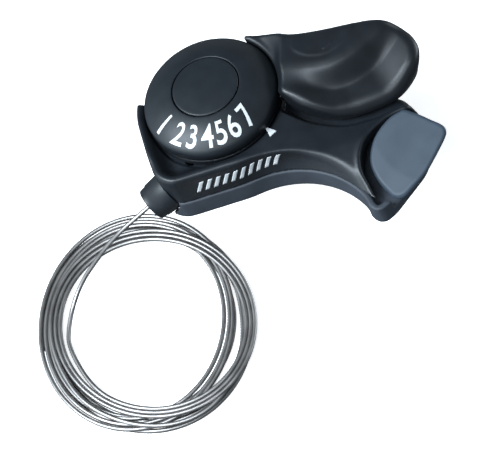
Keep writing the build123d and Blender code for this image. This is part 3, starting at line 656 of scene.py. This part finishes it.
def lever_top(x, y):
    """The height of the lever's top: flat back, pad, ridge, thumb's hollow, raised tip, low collar."""
    past = past_ridge(x, y)                    # positive on the thumb's side of the ridge
    step = 0.88 * (smooth_max(past - 0.4, 0, 1.8) - smooth_max(past - 3.8, 0, 2.4))
    step = step * (0.3 + 0.7 * ramp(x, 20, 35))
    hollow = smooth_max(2.0 * ramp(x, 19, 31) + 0.04 * (x - 30) - 0.14 * (y + 6), 0, 2)
    hollow = hollow * ramp(past, 1.0, 6.0)
    top = LEVER_TOP - (step + hollow) * (1 - 0.6 * ramp(x + 0.2 * (y + 10), 41, 56))
    top = top + 0.22 * ramp(-pad(x, y), -0.15, 0.35) * (1 - ramp(y, 0, 5))
    tick = np.abs((x - 33.6) * 0.43 - (y + 1.7) * 0.9) + 2 * np.maximum(np.abs(x - 33.6) - 1.3, 0)
    top = top + 0.18 * ramp(0.35 - tick, 0, 0.25)
    r = np.hypot(x, y)
    collar_edge = 18.5 + 1.3 * ramp(turn_from_left(x, y), -8, 40)
    on_body = ramp(r - collar_edge, 0, 2.2 + 3.0 * ramp(y, -2, 8))
    return top * on_body + COLLAR * (1 - on_body)


def lever_shape(x, y, z):
    """The lever: its body, and the plate that joins it to the hub under the dial."""
    r = np.hypot(x, y)
    at_tip = ramp(x, 44, 54)
    round_by = 1.1 + 1.2 * ramp(r, 20, 26) + 1.3 * at_tip + 1.2 * ramp(-y, 10, 16) * ramp(x, 26, 36)
    side = lever_edge(x, y) + (0.1 + 0.25 * at_tip) * np.maximum(-z, 0)
    body = both(side, z - lever_top(x, y), round_by)
    body = both(body, LEVER_LOW - z, 1.6)
    tongue = np.maximum(np.abs(x - 19) - 2, np.abs(y - 1) - 7)
    plate = np.maximum(np.minimum(r - PLATE_R, tongue), np.abs(z - PLATE_Z) - PLATE_HALF)
    return np.maximum(np.minimum(body, plate), HUB_R - r)


lever = skin("thumb_lever_skin", lever_shape, (-19, -22, LEVER_LOW - 1), (58, 19.5, LEVER_TOP + 1),
             "lever", lever_black)
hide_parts("thumb_lever")

# ------------------------------------------------------------------ dial
CAP_R = 9.3
dome = bow((DIAL_R - 0.45, 0.3), (13.8, 2.9), (CAP_R + 0.15, 4.3), 20)
ring_profile = [(16.4, -3.45), (17.75, -3.45), (DIAL_R, -3.2), (DIAL_R, -0.35)]
ring_profile += dome + [(CAP_R, 4.3), (CAP_R - 0.1, 4.1), (CAP_R - 0.12, 3.1), (7.6, 3.1),
                        (7.6, 1.9), (12.4, 1.1), (16.4, -1.1)]
ring = turned("dial_dome", ring_profile, "lever", dial_black, segments=192)
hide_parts("dial_ring")
cap_profile = [(0, 3.1), (CAP_R - 0.4, 3.1), (CAP_R - 0.4, 4.1)]
cap_profile += arc((CAP_R - 0.75, 4.05), 0.35, 0, 80, 6)
cap_profile += [(r, 4.82 - 0.0055 * r * r) for r in np.linspace(CAP_R - 1.0, 0, 12)]
cap = turned("dial_cap", cap_profile, "lever", dial_black, segments=128)
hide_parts("centre_cap")

DIGIT_H, DIGIT_R = 5.5, 14.2
DIGIT_NARROW = 0.86                            # of the font's own width
DIGIT_TOP, DIGIT_BACK = 0.05, -0.1             # from the dome's surface
CUTS = 12                                      # each way, so that a numeral can follow the dome
DIGIT_ANGLES = (202, 223, 239.5, 256, 270.5, 285, 304)
dome_r, dome_z = np.array(dome[::-1]).T


def numeral(text, angle):
    """A printed numeral on the dome, its head towards the dial's centre."""
    curve = bpy.data.curves.new("numeral", "FONT")
    curve.body = text
    curve.offset = 0.012
    curve.shear = 0.12
    curve.extrude = 0.1
    curve.resolution_u = 4
    carrier = bpy.data.objects.new("numeral", curve)
    bpy.context.scene.collection.objects.link(carrier)
    data = bpy.data.meshes.new_from_object(carrier)
    bpy.data.objects.remove(carrier)
    shape = bmesh.new()
    shape.from_mesh(data)
    bpy.data.meshes.remove(data)
    low = np.min([v.co for v in shape.verts], axis=0)
    high = np.max([v.co for v in shape.verts], axis=0)
    for way in (Vector((0, 1, 0)), Vector((1, 0, 0))):
        for share in np.linspace(0, 1, CUTS)[1:-1]:
            geometry = shape.verts[:] + shape.edges[:] + shape.faces[:]
            middle = Vector(low + (high - low) * share)
            bmesh.ops.bisect_plane(shape, geom=geometry, plane_co=middle, plane_no=way)
    scale = DIGIT_H / (high[1] - low[1])
    shape.verts.index_update()
    vertices = []
    for v in shape.verts:
        across = (v.co.x - (low[0] + high[0]) / 2) * scale * DIGIT_NARROW
        r = DIGIT_R - (v.co.y - (low[1] + high[1]) / 2) * scale
        a = radians(angle) + across / DIGIT_R
        z = float(np.interp(r, dome_r, dome_z)) + (DIGIT_TOP if v.co.z > 0 else DIGIT_BACK)
        vertices.append((r * cos(a), r * sin(a), z))
    faces = [[v.index for v in face.verts] for face in shape.faces]
    shape.free()
    return make_mesh(f"numeral_{text}", vertices, faces, "lever", print_white)


for k, turn in enumerate(DIGIT_ANGLES):
    numeral(str(k + 1), turn)

# ------------------------------------------------------------------ release trigger
trigger_edge = plan(eased(
    flowing([(46.2, -22.4), (41.4, -22.9), (36.2, -25.8), (33.2, -30.6), (33.4, -35.4), (35.0, -39.8)])
    + bow((35.0, -39.8), (36.9, -42.3), (40.0, -42.4), 6)[1:]
    + [(44.3, -40.9), (47.5, -39.1), (53.6, -34.3), (54.8, -32.7), (54.2, -30.7), (49.6, -25.5)], 0.9))


def trigger_shape(x, y, z):
    """The trigger: a sloping top with a shallow groove and a crease, undercut and hollow at its toe."""
    top = -5.8 + 0.21 * (x - 48) + 0.28 * (y + 27)
    across = (x - 45.0) * 0.6 + (y + 32.5) * -0.8    # distance from the groove's line
    top = top - 0.6 * np.exp(-(across / 5.5) ** 2)
    past_crease = smooth_max((36.8 - x) * 0.98 - (y + 31.5) * 0.19,
                             (40.2 - x) * 0.78 - (y + 37.8) * 0.63, 2)
    top = top - 0.05 * smooth_max(past_crease, 0, 0.6)
    underside = TRIGGER_LOW + 4.4 * ramp(x + 0.3 * y, 30, 38)
    undercut = 0.5 * ramp(x, 36, 42) * np.maximum(top - 0.8 - z, 0)
    shape = both(trigger_edge(x, y) + undercut, z - top, 0.9)
    return both(shape, underside - z, 0.5)


trigger = skin("trigger_button", trigger_shape, (31, -45, TRIGGER_LOW - 1), (57, -20, -2),
               "trigger", trigger_blue, spacing=0.32)
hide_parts("release_trigger")

# ------------------------------------------------------------------ floor, world and lights
HALF = 1.5                                     # metres
PAPER_GLOW = 0.75
floor = bpy.data.objects.new("floor", bpy.data.meshes.new("floor"))
bpy.context.scene.collection.objects.link(floor)
sheet = [(x, y, FLOOR) for x, y in ((-HALF, -HALF), (HALF, -HALF), (HALF, HALF), (-HALF, HALF))]
floor.data.from_pydata(sheet, [], [(0, 1, 2, 3)])
paper = plastic("floor_white", (0.86, 0.86, 0.86), 0.8, grain=0.02, variation=0.01)
paper_inputs = paper.node_tree.nodes["Principled BSDF"].inputs
paper_inputs["Emission Color"].default_value = (1, 1, 1, 1)
paper_inputs["Emission Strength"].default_value = PAPER_GLOW
floor.data.materials.append(paper)
floor.visible_glossy = False                   # the black plastics take light from the room, not the paper
floor.visible_diffuse = False

bpy.context.scene.view_settings.view_transform = "Standard"
DAYLIGHT = (0.80, 0.91, 1.0)


def studio(room, horizon, glows):
    """A world of dim light all round, brighter along the horizon and round each glow's direction."""
    world = bpy.data.worlds.new("world")
    bpy.context.scene.world = world
    world.use_nodes = True
    nodes, links = world.node_tree.nodes, world.node_tree.links
    direction = nodes.new("ShaderNodeTexCoord").outputs["Generated"]

    def eased_part(value, dark, bright, strength):
        part = nodes.new("ShaderNodeMapRange")
        part.interpolation_type = "SMOOTHSTEP"
        for name, number in (("From Min", dark), ("From Max", bright), ("To Max", strength)):
            part.inputs[name].default_value = number
        links.new(value, part.inputs["Value"])
        return part.outputs["Result"]

    apart = nodes.new("ShaderNodeSeparateXYZ")
    links.new(direction, apart.inputs["Vector"])
    level = nodes.new("ShaderNodeMath")
    level.operation = "ABSOLUTE"
    links.new(apart.outputs["Z"], level.inputs[0])
    parts = [eased_part(level.outputs[0], 0.42, 0.0, horizon)]
    for way, narrow, wide, strength in glows:
        facing = nodes.new("ShaderNodeVectorMath")
        facing.operation = "DOT_PRODUCT"
        facing.inputs[1].default_value = Vector(way).normalized()
        links.new(direction, facing.inputs[0])
        dark, bright = cos(radians(wide)), cos(radians(narrow))
        parts.append(eased_part(facing.outputs["Value"], dark, bright, strength))
    total = None
    for part in parts:
        adding = nodes.new("ShaderNodeMath")
        adding.inputs[0].default_value = room
        if total:
            links.new(total, adding.inputs[0])
        links.new(part, adding.inputs[1])
        total = adding.outputs[0]
    links.new(total, nodes["Background"].inputs["Strength"])
    nodes["Background"].inputs["Color"].default_value = (*DAYLIGHT, 1)


def soft_light(name, place, size, power):
    """A square soft box at place, in mm from the dial, aimed past the dial."""
    lamp = bpy.data.objects.new(name, bpy.data.lights.new(name, "AREA"))
    bpy.context.scene.collection.objects.link(lamp)
    lamp.data.size = size * MM
    lamp.data.energy = power
    lamp.data.color = DAYLIGHT
    lamp.location = point(*place)
    lamp.rotation_euler = (point(20, -20, 0) - lamp.location).to_track_quat("-Z", "Y").to_euler()


studio(0.18, 0.22, [((-0.9, -0.2, 0.2), 10, 58, 1.4), ((0.95, 0.3, 0.0), 8, 30, 6.0)])
soft_light("left", (-330, -90, 390), 280, 6.2)
soft_light("front", (-60, -290, 420), 220, 1.2)
